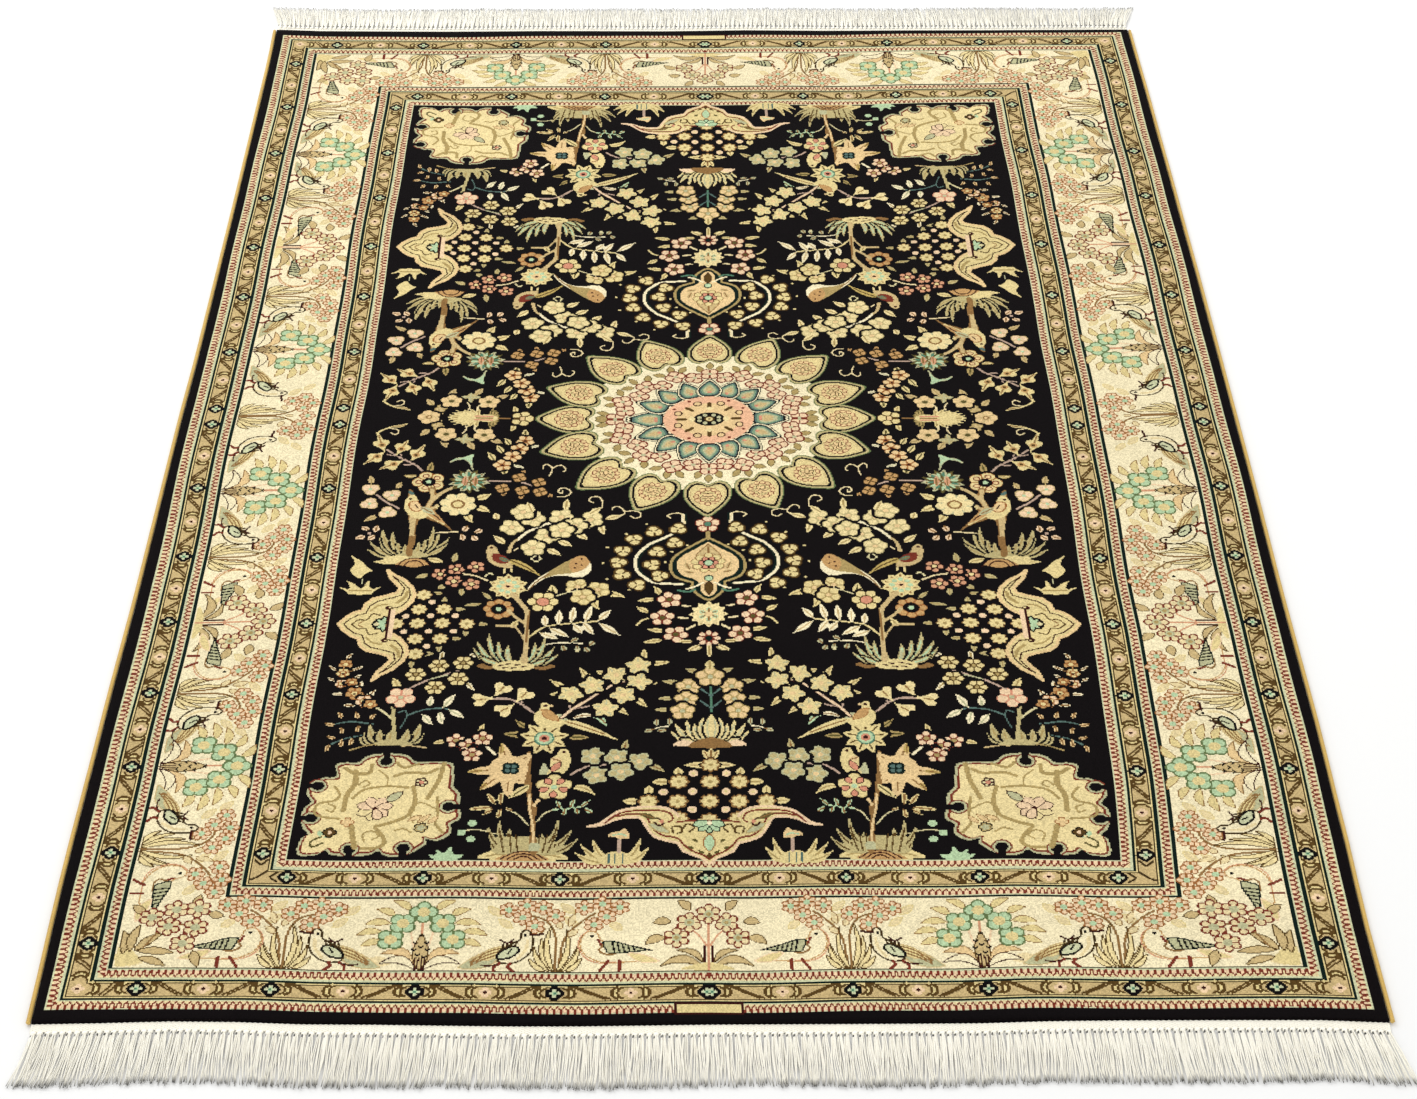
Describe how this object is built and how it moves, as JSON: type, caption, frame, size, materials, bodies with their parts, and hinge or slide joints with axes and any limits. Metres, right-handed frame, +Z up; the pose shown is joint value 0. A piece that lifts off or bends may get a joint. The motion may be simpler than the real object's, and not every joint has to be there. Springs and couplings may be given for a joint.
{
  "type": "persian rug",
  "caption": "Flat rectangular knotted rug with overcast side cords, woven end webs and a fringe along each end.",
  "frame": {"origin": "on the floor under the middle of the rug", "axes": "+Y runs along the rug from its near end to its far end, +X across it to the right, +Z up out of the pile"},
  "size_m": [1.0259, 1.6948, 0.0045],
  "materials": {
    "knotted_pile": "fine cut silk pile, low sheen, patterned in dark aubergine, cream, tan, green and red",
    "side_cord": "gold silk wrapped over the edge warps, soft sheen",
    "end_web": "cream plain weave, matt",
    "fringe": "cream-white silk warp ends, soft sheen"
  },
  "bodies": {
    "root": {"rug_body": "knotted_pile", "side_cord_left": "side_cord", "side_cord_right": "side_cord", "end_web_near": "end_web", "end_web_far": "end_web", "fringe_near": "fringe", "fringe_far": "fringe"}
  },
  "joints": []
}
